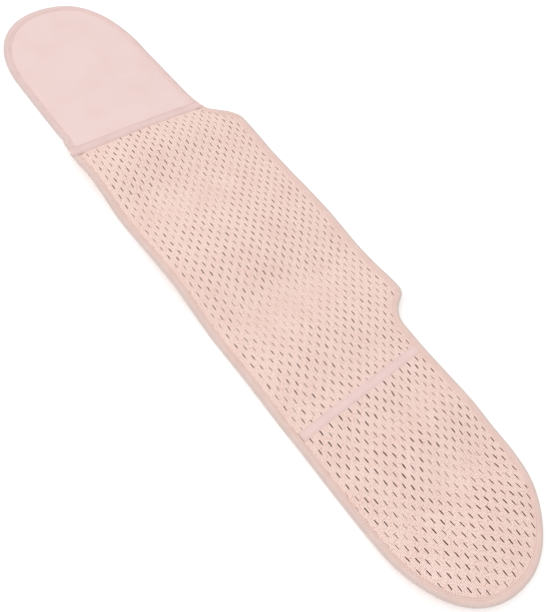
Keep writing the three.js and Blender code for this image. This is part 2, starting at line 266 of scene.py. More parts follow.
def edgePath(side, step):
    tipX, cap = (tongueTipX, band["tongueCap"]) if side < 0 else (tailTipX, band["tailCap"])
    rounded = tipX - side * cap * (1 - np.cos(np.linspace(math.pi / 2, 0, outline["tipSteps"])))
    lowX, highX = (
        np.concatenate([
            np.linspace(seam + side * band["seamGap"] / 2, rounded[0], outline["straightSteps"])[:-1],
            rounded,
        ])
        for seam in (joinX, seamTopX)
    )
    low = np.column_stack([lowX, lowerEdge(lowX, side)])
    high = np.column_stack([highX, upperEdge(highX)])
    fine = np.concatenate([low, high[-2::-1]])
    length = np.concatenate([[0], np.cumsum(np.linalg.norm(np.diff(fine, axis=0), axis=1))])
    count = round(length[-1] / step)
    along = np.linspace(0, length[-1], count + 1)
    at = lambda s: np.column_stack([np.interp(s, length, fine[:, k]) for k in (0, 1)])
    points = at(along)
    reach = outline["tangentReach"]
    tangent = at(np.clip(along + reach, 0, length[-1])) - at(np.clip(along - reach, 0, length[-1]))
    tangent /= np.linalg.norm(tangent, axis=1)[:, None]
    square = side * np.column_stack([-tangent[:, 1], tangent[:, 0]])
    # Near the join the way in turns from square to the edge to the way that the join runs
    seamWay = np.array([-band["seamLean"], seamHeight]) / math.hypot(band["seamLean"], seamHeight)
    across = np.sign(square[:, 1])[:, None] * seamWay
    away = np.abs(points[:, 0] - seamAt(points[:, 1])) / outline["seamReach"]
    weight = (1 - ease(away))[:, None]
    inward = square * (1 - weight) + across * weight
    inward /= np.sum(inward * square, axis=1)[:, None]
    return {"points": points, "inward": inward, "along": along}


def lifted(plan, lift):  # plan places and lifts off the cloth's middle, as points in mm
    return np.column_stack([plan, clothHeight(plan[:, 0], plan[:, 1]) + lift])


def meshFrom(name, points, faces, materials=(), smooth=True, sharpAngle=None):
    mesh = bpy.data.meshes.new(name)
    mesh.from_pydata((np.asarray(points) * millimetre).tolist(), [], [list(map(int, f)) for f in faces])
    for material in materials:
        mesh.materials.append(material)
    mesh.polygons.foreach_set("use_smooth", [smooth] * len(mesh.polygons))
    if sharpAngle:
        mesh.set_sharp_from_angle(angle=math.radians(sharpAngle))
    mesh.update()
    return addObject(name, mesh)


def addPointValue(mesh, name, values):
    attribute = mesh.attributes.new(name, "FLOAT", "POINT")
    attribute.data.foreach_set("value", np.asarray(values, np.float32))


def addSurfaceMap(mesh, places):  # a UV map in metres, from one place per point
    loops = np.zeros(len(mesh.loops), np.int32)
    mesh.loops.foreach_get("vertex_index", loops)
    layer = mesh.uv_layers.new(name="surface")
    layer.data.foreach_set("uv", (np.asarray(places)[loops] * millimetre).astype(np.float32).ravel())


# Materials


def newMaterial(name, colour, **values):
    material = bpy.data.materials.new(name)
    material.use_nodes = True
    tree = material.node_tree
    tree.nodes.clear()
    shader = addNode(tree, "ShaderNodeBsdfPrincipled", {"Base Color": linear(colour), **values})
    addNode(tree, "ShaderNodeOutputMaterial", {"Surface": shader.outputs[0]})
    return material, tree, shader


def blend(tree, share, first, second):  # a colour between two, which are hex values or sockets
    pick = lambda c: linear(c) if isinstance(c, str) else c
    values = {0: share, 6: pick(first), 7: pick(second)}
    return addNode(tree, "ShaderNodeMix", values, data_type="RGBA").outputs[2]


def reckon(tree, operation, *values, clamped=False):
    inputs = dict(enumerate(values))
    return addNode(tree, "ShaderNodeMath", inputs, operation=operation, use_clamp=clamped).outputs[0]


def raiseSurface(tree, shader, height, depth):
    bump = addNode(tree, "ShaderNodeBump", {"Height": height, "Distance": depth * millimetre})
    tree.links.new(bump.outputs[0], shader.inputs["Normal"])


def perMillimetre(size):  # texture scale for a pattern of this size, on coordinates in metres
    return 1 / (size * millimetre)


def noise(tree, places, size, detail):
    inputs = {"Vector": places, "Scale": perMillimetre(size), "Detail": detail}
    return addNode(tree, "ShaderNodeTexNoise", inputs).outputs["Fac"]


def threads(tree, places, size, distortion, direction):  # parallel bands, one to each size
    inputs = {"Vector": places, "Scale": math.pi / 10 * perMillimetre(size), "Distortion": distortion}
    return addNode(tree, "ShaderNodeTexWave", inputs, bands_direction=direction).outputs["Fac"]


def paint(tree, shader, share, first, second):
    tree.links.new(blend(tree, share, first, second), shader.inputs["Base Color"])


noiseMiddle = 0.5


# Knitted polyester over thin foam: matt, with a fine grain of loops and soft uneven tone
knit = {
    "colour": "#fee9e3",
    "shadeColour": "#d5a794",
    "loopSize": 1.8,  # real loops are near 0.8 mm, drawn coarser so that they show
    "loopShare": 1.1,
    "randomness": 0.65,
    "patchSize": 34,
    "patchShare": 0.25,
    "depth": 0.35,
}


def makeKnit():
    values = {"Roughness": 0.92, "Specular IOR Level": 0.2, "Sheen Weight": 0.12, "Sheen Roughness": 0.5}
    material, tree, shader = newMaterial("knittedPolyester", knit["colour"], **values)
    places = addNode(tree, "ShaderNodeTexCoord").outputs["Object"]
    scale = perMillimetre(knit["loopSize"])
    inputs = {"Vector": places, "Scale": scale, "Randomness": knit["randomness"]}
    grid = addNode(tree, "ShaderNodeTexVoronoi", inputs, voronoi_dimensions="2D")
    loops = grid.outputs["Distance"]
    patches = noise(tree, places, knit["patchSize"], 3)
    grain = reckon(tree, "MULTIPLY", loops, knit["loopShare"])
    uneven = reckon(tree, "SUBTRACT", patches, noiseMiddle)
    tone = reckon(tree, "MULTIPLY_ADD", uneven, knit["patchShare"], grain, clamped=True)
    paint(tree, shader, tone, knit["colour"], knit["shadeColour"])
    raiseSurface(tree, shader, loops, knit["depth"])
    return material


# Cut foam in the walls of the slits: open cells, in a dark rust brown that is painted shade in the slits
foam = {"colour": "#7d3826", "shadeColour": "#4c1e14", "cellSize": 0.6, "depth": 0.15}


def makeSlitWallShade():
    values = {"Roughness": 1.0, "Specular IOR Level": 0.05}
    material, tree, shader = newMaterial("cutFoam", foam["colour"], **values)
    places = addNode(tree, "ShaderNodeTexCoord").outputs["Object"]
    cells = noise(tree, places, foam["cellSize"], 2)
    paint(tree, shader, cells, foam["colour"], foam["shadeColour"])
    raiseSurface(tree, shader, cells, foam["depth"])
    return material


# Brushed loop knit of the tongue: short fibres lying one way, with a light satin sheen
plush = {
    "colour": "#e9cfcb",
    "shadeColour": "#dfbfba",
    "fibreSize": 1.1,
    "fibreStretch": 0.35,  # of the pattern's scale along the band, which draws the fibres long
    "fibreShare": 0.7,
    "patchSize": 46,
    "patchLevel": 0.4,  # what of the patches counts as unshaded
    "depth": 0.1,
}


def makePlush():
    values = {"Roughness": 0.72, "Specular IOR Level": 0.3, "Sheen Weight": 0.25, "Sheen Roughness": 0.4}
    material, tree, shader = newMaterial("brushedLoopKnit", plush["colour"], **values)
    places = addNode(tree, "ShaderNodeTexCoord").outputs["Object"]
    stretch = (plush["fibreStretch"], 1, 1)
    combed = addNode(tree, "ShaderNodeMapping", {"Vector": places, "Scale": stretch}).outputs[0]
    fibres = noise(tree, combed, plush["fibreSize"], 4)
    patches = noise(tree, places, plush["patchSize"], 2)
    grain = reckon(tree, "MULTIPLY", reckon(tree, "SUBTRACT", fibres, noiseMiddle), plush["fibreShare"])
    uneven = reckon(tree, "SUBTRACT", patches, plush["patchLevel"])
    tone = reckon(tree, "ADD", uneven, grain, clamped=True)
    paint(tree, shader, tone, plush["colour"], plush["shadeColour"])
    raiseSurface(tree, shader, fibres, plush["depth"])
    return material


# Elastic edge tape and sewn ribbon: woven nylon, dull, with fine threads across and along


def makeTape(name, look):
    values = {"Roughness": look["roughness"], "Specular IOR Level": 0.3, "Sheen Weight": 0.2}
    material, tree, shader = newMaterial(name, look["colour"], **values)
    places = addNode(tree, "ShaderNodeUVMap", uv_map="surface").outputs[0]
    acrossThreads = threads(tree, places, look["acrossThread"], look["distortion"], "X")
    alongThreads = threads(tree, places, look["alongThread"], look["distortion"], "Y")
    weave = reckon(tree, "MULTIPLY", acrossThreads, alongThreads)
    patches = noise(tree, places, look["patchSize"], 2)
    gaps = reckon(tree, "SUBTRACT", 1.0, weave)
    tone = reckon(tree, "MULTIPLY_ADD", gaps, look["gapShare"], patches, clamped=True)
    tone = reckon(tree, "SUBTRACT", tone, look["toneDrop"], clamped=True)
    cloth = blend(tree, tone, look["colour"], look["shadeColour"])
    # The rim attribute blends in painted shade: on the bindings' fold, on the ribs and in the tapes'
    # stitch grooves
    rim = addNode(tree, "ShaderNodeAttribute", attribute_name="rim").outputs["Fac"]
    paint(tree, shader, rim, cloth, look["paintedShadeColour"])
    raiseSurface(tree, shader, weave, look["depth"])
    return material


bodyTapeLook = {
    "colour": "#f3dbd3",
    "shadeColour": "#e5c4ba",
    "paintedShadeColour": "#c0b7b4",  # painted shade on the binding's fold
    "roughness": 0.85,
    "acrossThread": 1.0,
    "alongThread": 1.4,
    "distortion": 0.4,
    "gapShare": 0.35,  # how far the gaps between threads shade the cloth
    "toneDrop": 0.2,
    "patchSize": 18,
    "depth": 0.12,
}
tongueTapeLook = {**bodyTapeLook, "colour": "#f3dad6", "shadeColour": "#e5c6c1", "paintedShadeColour": "#c0b7b5"}
ribbonLook = {
    **bodyTapeLook,
    "colour": "#f1d7d3",
    "shadeColour": "#e3c3be",
    "paintedShadeColour": "#dcb9b4",  # painted shade in the pressed stitch grooves
    "roughness": 0.7,
    "acrossThread": 1.2,
    "alongThread": 1.6,
    "patchSize": 30,
    "depth": 0.1,
}
joinRibbonLook = {**ribbonLook, "colour": "#ead0cc", "shadeColour": "#dbbbb6", "paintedShadeColour": "#cfa9a3"}


# Spun polyester sewing thread, slightly glossy, with a twist
spun = {"shadeColour": "#c99f98", "twistSize": 0.5, "distortion": 1.0, "shadeShare": 0.35, "depth": 0.06}


def makeThread(name, colour):
    values = {"Roughness": 0.6, "Specular IOR Level": 0.35}
    material, tree, shader = newMaterial(name, colour, **values)
    places = addNode(tree, "ShaderNodeTexCoord").outputs["Object"]
    twist = threads(tree, places, spun["twistSize"], spun["distortion"], "DIAGONAL")
    shade = reckon(tree, "MULTIPLY", twist, spun["shadeShare"])
    paint(tree, shader, shade, colour, spun["shadeColour"])
    raiseSurface(tree, shader, twist, spun["depth"])
    return material


knitMaterial = makeKnit()
slitWallShadeMaterial = makeSlitWallShade()
plushMaterial = makePlush()
bodyTapeMaterial = makeTape("elasticEdgeTapePeach", bodyTapeLook)
tongueTapeMaterial = makeTape("elasticEdgeTapePink", tongueTapeLook)
ribbonMaterial = makeTape("wovenRibbon", ribbonLook)
joinRibbonMaterial = makeTape("wovenJoinRibbon", joinRibbonLook)
rustThread = makeThread("sewingThreadRust", "#d29d8d")
roseThread = makeThread("sewingThreadRose", "#dfb3ae")
pinkThread = makeThread("sewingThreadPink", "#f0d0cc")
print("materials ready")


# Geometry Nodes


def startTree(name, sockets):  # a tree with a geometry in and out, and named inputs
    tree = bpy.data.node_groups.new(name, "GeometryNodeTree")
    tree.interface.new_socket("Geometry", in_out="INPUT", socket_type="NodeSocketGeometry")
    tree.interface.new_socket("Geometry", in_out="OUTPUT", socket_type="NodeSocketGeometry")
    for label, kind in sockets:
        tree.interface.new_socket(label, in_out="INPUT", socket_type="NodeSocket" + kind)
    return tree, tree.nodes.new("NodeGroupInput").outputs


def shapeNode(tree, kind, inputs=None, **settings):  # what a geometry node gives first
    return addNode(tree, "GeometryNode" + kind, inputs, **settings).outputs[0]


def endTree(tree, shape, material):  # realised, smooth and with its material, as the export needs
    real = shapeNode(tree, "RealizeInstances", {0: shape})
    smooth = shapeNode(tree, "SetShadeSmooth", {"Geometry": real})
    dressed = shapeNode(tree, "SetMaterial", {"Geometry": smooth, "Material": material})
    addNode(tree, "NodeGroupOutput", {0: dressed})
    return tree


def readValue(tree, name):
    return shapeNode(tree, "InputNamedAttribute", {"Name": name}, data_type="FLOAT")


def randomVector(tree, low, high, seed):
    inputs = {0: low, 1: high, "Seed": seed}
    return addNode(tree, "FunctionNodeRandomValue", inputs, data_type="FLOAT_VECTOR").outputs[0]


def grow(piece, tree, values):  # runs a tree on a piece, and keeps the result as its plain mesh
    modifier = piece.modifiers.new(tree.name, "NODES")
    modifier.node_group = tree
    for item in tree.interface.items_tree:
        if item.in_out == "INPUT" and item.name in values:
            modifier[item.identifier] = values[item.name]
    bpy.context.view_layer.update()
    grown = piece.evaluated_get(bpy.context.evaluated_depsgraph_get())
    mesh = bpy.data.meshes.new_from_object(grown)
    piece.modifiers.remove(modifier)
    old, piece.data = piece.data, mesh
    mesh.name = piece.name
    bpy.data.meshes.remove(old)
    return piece


def readPoints(mesh):
    flat = np.zeros(len(mesh.vertices) * 3, np.float32)
    mesh.vertices.foreach_get("co", flat)
    return flat.reshape(-1, 3).astype(float) / millimetre


def readFaces(mesh):  # faces of four corners
    flat = np.zeros(len(mesh.loops), np.int32)
    mesh.loops.foreach_get("vertex_index", flat)
    return flat.reshape(-1, 4)


# Flat sheets of cloth

edging = {
    "bindingWidth": 10,
    "pressedHalf": 0.9,  # half the thickness where the binding grips
    "rampEnd": 15,
    "hiddenMargin": 1.6,  # the sheet stops this far inside the edge, in the fold
    "puckerHeight": 0.3,
    "puckerLength": 16,
    "puckerReach": 9,
    "searchStep": 0.6,
    "sharpAngle": 50,  # degrees
}


def fromEdge(plan, side):  # distance from the edge, and place along it, for places in plan
    path = edgePath(side, edging["searchStep"])
    tree = KDTree(len(path["points"]))
    for i, (x, y) in enumerate(path["points"]):
        tree.insert((x, y, 0), i)
    tree.balance()
    found = [tree.find((x, y, 0)) for x, y in plan]
    return np.array([f[2] for f in found]), path["along"][[f[1] for f in found]]


def isInside(x, y, side):
    past = side * (x - seamAt(y)) - band["seamGap"] / 2
    return (past >= 0) & (y > lowerEdge(x, side)) & (y < upperEdge(x))


def gridOver(side, xs, ys):  # a grid of places in plan, and which of them the sheet covers
    gridX, gridY = np.meshgrid(xs, ys, indexing="ij")
    plan = np.column_stack([gridX.ravel(), gridY.ravel()])
    deep = fromEdge(plan, side)[0] > edging["hiddenMargin"]
    return plan, (isInside(plan[:, 0], plan[:, 1], side) & deep).reshape(gridX.shape)


def cellsOf(good, taken):  # the places in use, and the free cells whose four corners are good
    corner = good[:-1, :-1] & good[1:, :-1] & good[:-1, 1:] & good[1:, 1:] & ~taken[:-1, :-1]
    i, j = np.nonzero(corner)
    rows = good.shape[1]
    low = i * rows + j
    cells = np.column_stack([low, low + rows, low + rows + 1, low + 1])
    used, cells = np.unique(cells, return_inverse=True)
    return used, cells.reshape(-1, 4)


def closedShell(faces, count):  # top faces, the same faces below, and walls at every open edge
    edges = np.concatenate([faces[:, [k, (k + 1) % 4]] for k in range(4)])
    codes = edges[:, 0] * count + edges[:, 1]
    rim = edges[~np.isin(codes, edges[:, 1] * count + edges[:, 0])]
    walls = np.column_stack([rim[:, 1], rim[:, 0], rim[:, 0] + count, rim[:, 1] + count])
    return np.concatenate([faces, faces[:, ::-1] + count, walls])


def thicken(name, plan, faces, side, half, pinch, materials, extraHeight=0):
    # A closed sheet from flat faces, with the last of its materials on the walls
    distance, along = fromEdge(plan, side)
    ramp = ease((distance - edging["bindingWidth"]) / (edging["rampEnd"] - edging["bindingWidth"]))
    thick = edging["pressedHalf"] + (half - edging["pressedHalf"]) * ramp - pinch
    fade = np.exp(-np.maximum(distance - edging["bindingWidth"], 0) / edging["puckerReach"]) * ramp
    pucker = edging["puckerHeight"] * fade * np.sin(2 * math.pi * along / edging["puckerLength"])
    extra = pucker + extraHeight
    points = np.concatenate([lifted(plan, thick + extra), lifted(plan, extra - thick)])
    shell = closedShell(faces, len(plan))
    piece = meshFrom(name, points, shell, materials, sharpAngle=edging["sharpAngle"])
    which = np.zeros(len(shell), np.int32)
    which[2 * len(faces) :] = len(materials) - 1
    piece.data.polygons.foreach_set("material_index", which)
    return piece


# Perforated panel: one slit at every place of a brick lattice, opened on the crests and nearly shut
# in the troughs, where the foam is pressed together

panel = {
    "half": 1.5,
    "pitch": 14.5,
    "margin": 17,
    "slitLength": 6.9,
    "slitWidth": 0.9,
    "widerTail": 0.3,  # the tail's slits gape more by this share
    "variation": 0.35,  # of the opening of single slits, either way
    "leastOpening": 0.22,
    "lip": 0.8,  # the rounded mouth of a slit reaches this far
    "lipPinch": 0.15,  # how much of the mouth's depth the lip's outer line has
    "mouthDepth": 0.25,
    "turn": 2.5,  # degrees, either way
    "weldReach": 0.05,
    "seed": 7,
}
troughs = [  # place along and across, half length along, half width across, how far the slits shut
    (-85, -30, 26, 75, 0.6),
    (97, -15, 30, 80, 0.7),
    (278, 18, 20, 60, 0.5),
    (358, 10, 20, 48, 0.6),
    (358, -80, 18, 26, 0.5),
    (-225, 30, 30, 30, 0.4),
]
slotRing = [  # one corner of the mouth for each corner of a tile, as shares of its half length and width
    (1, 0), (0.93, 0.6), (0.5, 1), (0, 1), (-0.5, 1), (-0.93, 0.6),
    (-1, 0), (-0.93, -0.6), (-0.5, -1), (0, -1), (0.5, -1), (0.93, -0.6),
]
tileRing = [  # the corners of a tile, in cells
    (2, 0), (2, 1), (1, 1), (0, 1), (-1, 1), (-2, 1),
    (-2, 0), (-2, -1), (-1, -1), (0, -1), (1, -1), (2, -1),
]


def makeSlitTile(cell):  # a tile of cloth round a slit that the tree opens
    ring = len(tileRing)
    border = [(x * cell, y * cell, 0) for x, y in tileRing]
    outward = [np.array(p) / np.linalg.norm(p) for p in slotRing]
    mouth = [(d[0] * panel["lip"], d[1] * panel["lip"], 0) for d in outward]
    points = border + mouth + [(0, 0, 0)] * ring
    faces = []
    for level in (0, ring):
        for i in range(ring):
            j = (i + 1) % ring
            faces.append((level + i, level + j, level + ring + j, level + ring + i))
    tile = meshFrom("slitTile", points, faces)
    shares = [(0, 0)] * ring + slotRing + slotRing
    addPointValue(tile.data, "reach", [s[0] for s in shares])
    addPointValue(tile.data, "lip", [s[1] for s in shares])
    addPointValue(tile.data, "pinch", [0] * ring + [panel["lipPinch"]] * ring + [1] * ring)
    return tile


def perforatingTree():
    sockets = [
        ("Slit Tile", "Object"), ("Slit Length", "Float"), ("Slit Width", "Float"),
        ("Slit Turn", "Float"), ("Seed", "Int"), ("Material", "Material"),
    ]
    tree, given = startTree("perforateCloth", sockets)
    inputs = {0: readValue(tree, "slit"), 1: 0.5}
    chosen = addNode(tree, "FunctionNodeCompare", inputs, operation="GREATER_THAN").outputs[0]
    parted = addNode(tree, "GeometryNodeSeparateGeometry", {0: given["Geometry"], 1: chosen}).outputs
    lowTurn = reckon(tree, "MULTIPLY", given["Slit Turn"], -1.0)
    turn = addNode(
        tree, "FunctionNodeRandomValue", {2: lowTurn, 3: given["Slit Turn"], "Seed": given["Seed"]}
    ).outputs[1]
    inputs = {"Geometry": parted[0], "Name": "turn", "Value": turn}
    marked = shapeNode(tree, "StoreNamedAttribute", inputs)
    tile = addNode(tree, "GeometryNodeObjectInfo", {"Object": given["Slit Tile"]}).outputs["Geometry"]
    tiles = shapeNode(tree, "InstanceOnPoints", {"Points": marked, "Instance": tile})
    real = shapeNode(tree, "RealizeInstances", {0: tiles})
    value = {name: readValue(tree, name) for name in ("reach", "lip", "opening", "turn")}
    times = lambda a, b: reckon(tree, "MULTIPLY", a, b)
    along = times(times(value["reach"], given["Slit Length"]), 0.5)
    across = times(times(times(value["lip"], given["Slit Width"]), value["opening"]), 0.5)
    offset = addNode(tree, "ShaderNodeCombineXYZ", {0: along, 1: across}).outputs[0]
    turned = addNode(
        tree, "ShaderNodeVectorRotate", {"Vector": offset, "Angle": value["turn"]}, rotation_type="Z_AXIS"
    ).outputs[0]
    opened = shapeNode(tree, "SetPosition", {"Geometry": real, "Offset": turned})
    joined = addNode(tree, "GeometryNodeJoinGeometry", {0: opened})
    tree.links.new(parted[1], joined.inputs[0])
    inputs = {"Geometry": joined.outputs[0], "Distance": panel["weldReach"] * millimetre}
    merged = shapeNode(tree, "MergeByDistance", inputs)
    return endTree(tree, merged, given["Material"])


def slitOpening(x, y):
    shut = sum(
        amount * np.exp(-(((x - cx) / halfX) ** 2) - ((y - cy) / halfY) ** 4)
        for cx, cy, halfX, halfY, amount in troughs
    )
    varied = 1 + panel["variation"] * np.random.default_rng(panel["seed"]).uniform(-1, 1, len(x))
    wider = 1 + panel["widerTail"] * (x > tailX)
    return np.clip(1 - shut, panel["leastOpening"], 1) * varied * wider


def makePanel():
    cell = panel["pitch"] / 4
    startX, startY = tailX, bottom + panel["margin"]
    columns = np.arange(math.floor((seamTopX - startX) / cell), math.ceil((tailTipX - startX) / cell) + 1)
    rows = np.arange(-math.ceil(panel["margin"] / cell), math.ceil(band["centreWidth"] / cell) + 1)
    plan, good = gridOver(1, startX + columns * cell, startY + rows * cell)
    taken = np.zeros(good.shape, bool)  # cells that belong to a tile, by their lowest corner
    slits = []
    for i in range(2, len(columns) - 2):
        for j in range(1, len(rows) - 1):
            column, row = columns[i], rows[j]
            offLattice = column % 2 or (row - 2 * (1 - column // 2 % 2)) % 4
            if offLattice or not good[i - 2 : i + 3, j - 1 : j + 2].all():
                continue
            slits.append(plan[i * len(rows) + j])
            taken[i - 2 : i + 2, j - 1 : j + 1] = True
    used, cells = cellsOf(good, taken)
    slits = np.array(slits)
    flat = np.concatenate([plan[used], slits])
    base = meshFrom("perforatedCloth", np.column_stack([flat, np.zeros(len(flat))]), cells)
    addPointValue(base.data, "slit", [0] * len(used) + [1] * len(slits))
    addPointValue(base.data, "opening", np.concatenate([np.ones(len(used)), slitOpening(*slits.T)]))
    tile = makeSlitTile(cell)
    values = {
        "Slit Tile": tile,
        "Slit Length": panel["slitLength"] * millimetre,
        "Slit Width": panel["slitWidth"] * millimetre,
        "Slit Turn": math.radians(panel["turn"]),
        "Seed": panel["seed"],
        "Material": knitMaterial,
    }
    grow(base, perforatingTree(), values)
    points, faces = readPoints(base.data), readFaces(base.data)
    pinch = np.zeros(len(points), np.float32)
    base.data.attributes["pinch"].data.foreach_get("value", pinch)
    bpy.data.objects.remove(base)
    bpy.data.objects.remove(tile)
    # the slit walls take the dark foam colour, which is painted shade
    materials = [knitMaterial, slitWallShadeMaterial]
    pinch *= panel["mouthDepth"]
    sheet = thicken("perforatedCloth", points[:, :2], faces, 1, panel["half"], pinch, materials)
    print("perforated cloth:", len(slits), "slits,", len(sheet.data.polygons), "faces")
    return sheet


perforatedCloth = makePanel()


# Tongue: a plain sheet with one soft crease

tongue = {
    "half": 1.2,
    "cell": 3.0,
    "creaseFrom": (-298, -99),
    "creaseTo": (-306, 71),
    "creaseDepth": 0.6,
    "creaseWidth": 2.6,
    "creaseSway": 3.0,
    "swayTurns": 1.3,
    "swayStart": 0.8,  # radians
    "fadeShare": 0.12,  # of the crease's length, at both ends
    "unevenShare": 0.35,
    "unevenTurn": 19,  # radians over the crease's length
    "ridgeShare": 0.6,  # of the crease's depth, for the low ridge beside it
    "ridgeOffset": 5,
    "ridgeWidth": 1.6,  # times the crease's width
}


def creaseHeight(plan):
    start, end = np.array(tongue["creaseFrom"], float), np.array(tongue["creaseTo"], float)
    length = np.linalg.norm(end - start)
    way = (end - start) / length
    along = (plan - start) @ way / length
    off = (plan - start) @ np.array([-way[1], way[0]])
    sway = np.sin(2 * math.pi * along * tongue["swayTurns"] + tongue["swayStart"])
    off = off + tongue["creaseSway"] * sway
    faded = ease(along / tongue["fadeShare"]) * ease((1 - along) / tongue["fadeShare"])
    uneven = 1 - tongue["unevenShare"] + tongue["unevenShare"] * np.sin(along * tongue["unevenTurn"])
    fold = -np.exp(-((off / tongue["creaseWidth"]) ** 2))
    ridgeWidth = tongue["ridgeWidth"] * tongue["creaseWidth"]
    ridge = tongue["ridgeShare"] * np.exp(-(((off - tongue["ridgeOffset"]) / ridgeWidth) ** 2))
    return tongue["creaseDepth"] * faded * uneven * (fold + ridge)


def makeTongue():
    cell = tongue["cell"]
    xs = np.arange(joinX - band["seamGap"] / 2, tongueTipX, -cell)[::-1]
    ys = np.arange(bottom, bottom + band["centreWidth"], cell)
    plan, good = gridOver(-1, xs, ys)
    used, cells = cellsOf(good, np.zeros_like(good))
    plan = plan[used]
    crease = creaseHeight(plan)
    sheet = thicken("tongueCloth", plan, cells, -1, tongue["half"], 0, [plushMaterial], crease)
    print("tongue cloth:", len(sheet.data.polygons), "faces")
    return sheet


tongueCloth = makeTongue()


# Bindings: a tape folded over the edge, swept round each part

binding = {
    "step": 3.0,
    "paintedShadeShare": 0.9,  # how far the fold takes on its painted shade colour, and how far in from the edge
    "paintedShadeReach": 3.0,
    "sharpAngle": 60,  # degrees
    # Upper half of the tape's outside and inside: distance from the edge, lift off the cloth's middle
    "flap": [
        (10.0, 1.0), (9.8, 1.3), (9.3, 1.5), (8.3, 1.4), (7.4, 1.65), (5.6, 1.9),
        (3.8, 2.0), (2.3, 1.9), (1.1, 1.6), (0.35, 1.0), (0.0, 0.0),
    ],
    "lining": [(10.0, 0.93), (1.2, 0.93), (0.85, 0.0)],
}


def mirrored(half):  # a profile's upper half, then its lower half
    return half + [(d, -lift) for d, lift in half[-2::-1]]


def makeBinding(name, side, material):
    path = edgePath(side, binding["step"])
    outside, inside = mirrored(binding["flap"]), mirrored(binding["lining"])
    profile = outside + inside[::-1]
    ring, count = len(profile), len(path["points"])
    lines = [lifted(path["points"] + path["inward"] * distance, lift) for distance, lift in profile]
    points = np.stack(lines, axis=1).reshape(-1, 3)
    s, i = np.meshgrid(np.arange(count - 1), np.arange(ring), indexing="ij")
    here, after = s * ring + i, s * ring + (i + 1) % ring
    faces = np.stack([here, after, after + ring, here + ring], axis=-1).reshape(-1, 4)
    # The two cut ends, each closed as a strip between the outer and the inner skin
    ends = stripBetween(range(len(outside)), [ring - 1 - k for k in range(len(inside))])
    if side < 0:
        faces = faces[:, ::-1]
    else:
        ends = [end[::-1] for end in ends]
    last = (count - 1) * ring
    faces = faces.tolist() + ends + [[last + k for k in end[::-1]] for end in ends]
    piece = meshFrom(name, points, faces, [material], sharpAngle=binding["sharpAngle"])
    distances = np.array([d for d, _ in profile])
    around = np.concatenate([[0], np.cumsum(np.linalg.norm(np.diff(np.array(profile), axis=0), axis=1))])
    # Painted shade on the fold: darkest at the edge, fading inward
    rim = binding["paintedShadeShare"] * np.exp(-((distances / binding["paintedShadeReach"]) ** 2))
    addPointValue(piece.data, "rim", np.tile(rim, count))
    addSurfaceMap(piece.data, np.column_stack([np.repeat(path["along"], ring), np.tile(around, count)]))
    return piece


def stripBetween(first, second):  # triangles between two rows of point numbers
    faces, i, j = [], 0, 0
    lastI, lastJ = len(first) - 1, len(second) - 1
    while i < lastI or j < lastJ:
        if j == lastJ or (i < lastI and i / lastI <= j / lastJ):
            faces.append([first[i], first[i + 1], second[j]])
            i += 1
        else:
            faces.append([first[i], second[j + 1], second[j]])
            j += 1
    return faces


bodyBinding = makeBinding("bodyBinding", 1, bodyTapeMaterial)
tongueBinding = makeBinding("tongueBinding", -1, tongueTapeMaterial)
print("bindings:", len(bodyBinding.data.polygons) + len(tongueBinding.data.polygons), "faces")


# Sewn tapes across the band

tapes = {
    "joinWidth": 14,
    "tailWidth": 11.5,
    "tailShift": -1.8,
    "thick": 0.6,
    "onCloth": 1.52,
    "onBinding": 2.12,
    "groove": 1.9,  # stitch grooves, this far in from both sides
    "grooveDepth": 0.15,
    # how much of the painted shade colour lies in the stitch grooves
    "grooveShadeShare": 0.25,
    "grooveWidth": 0.6,
    "endInset": 0.8,  # of the ends that cross the bindings, from the band's edge
    "endGap": 0.2,  # between a binding and an end that stops at it
    "stitchedFrom": 1.0,  # the stitches start this far from the edge or the binding
    "climbFrom": 0.95,  # a tape starts to climb off a binding at this share of its width
    "slopeReach": 0.05,
    "step": 2.5,
}


def tapeSection(width):  # places across the tape, with the height of its top over its underside
    half, groove = width / 2, width / 2 - tapes["groove"]
    thick, low = tapes["thick"], tapes["thick"] - tapes["grooveDepth"]
    right = [
        (0, thick), (groove - 2.2, thick + 0.05), (groove - 1.0, thick), (groove - 0.35, low + 0.08),
        (groove, low), (groove + 0.35, low + 0.08), (groove + 1.0, thick),
        (half - 0.4, thick * 0.8), (half, thick * 0.25),
    ]
    return [(-x, z) for x, z in right[:0:-1]] + right


def tapeGrid(across, middleX, lean, inset, overBindings, step):
    # Places along lines that run the tape's length, with the lift of its underside at each
    lowX = middleX + across
    highX = lowX - lean
    reach = tapes["slopeReach"]
    slope = (upperEdge(highX + reach) - upperEdge(highX - reach)) / (2 * reach)
    steep = np.sqrt(1 + slope**2)
    lows = lowerEdge(lowX, 1) + inset
    highs = upperEdge(highX) - inset * steep
    shares = np.linspace(0, 1, round((highs.max() - lows.min()) / step) + 1)[:, None]
    xs = lowX - lean * shares
    ys = lows + (highs - lows) * shares
    lift = np.full(ys.shape, float(tapes["onCloth"]))
    if overBindings:
        low = edging["bindingWidth"] + np.where(across < 0, band["joinInset"], 0)
        high = edging["bindingWidth"] * steep
        climb = tapes["onBinding"] - tapes["onCloth"]
        onLow, onHigh = (ys - lows + inset) / low, (highs - ys + inset) / high
        lift += climb * (2 - ease(onLow - tapes["climbFrom"]) - ease(onHigh - tapes["climbFrom"]))
    return xs, ys, lift


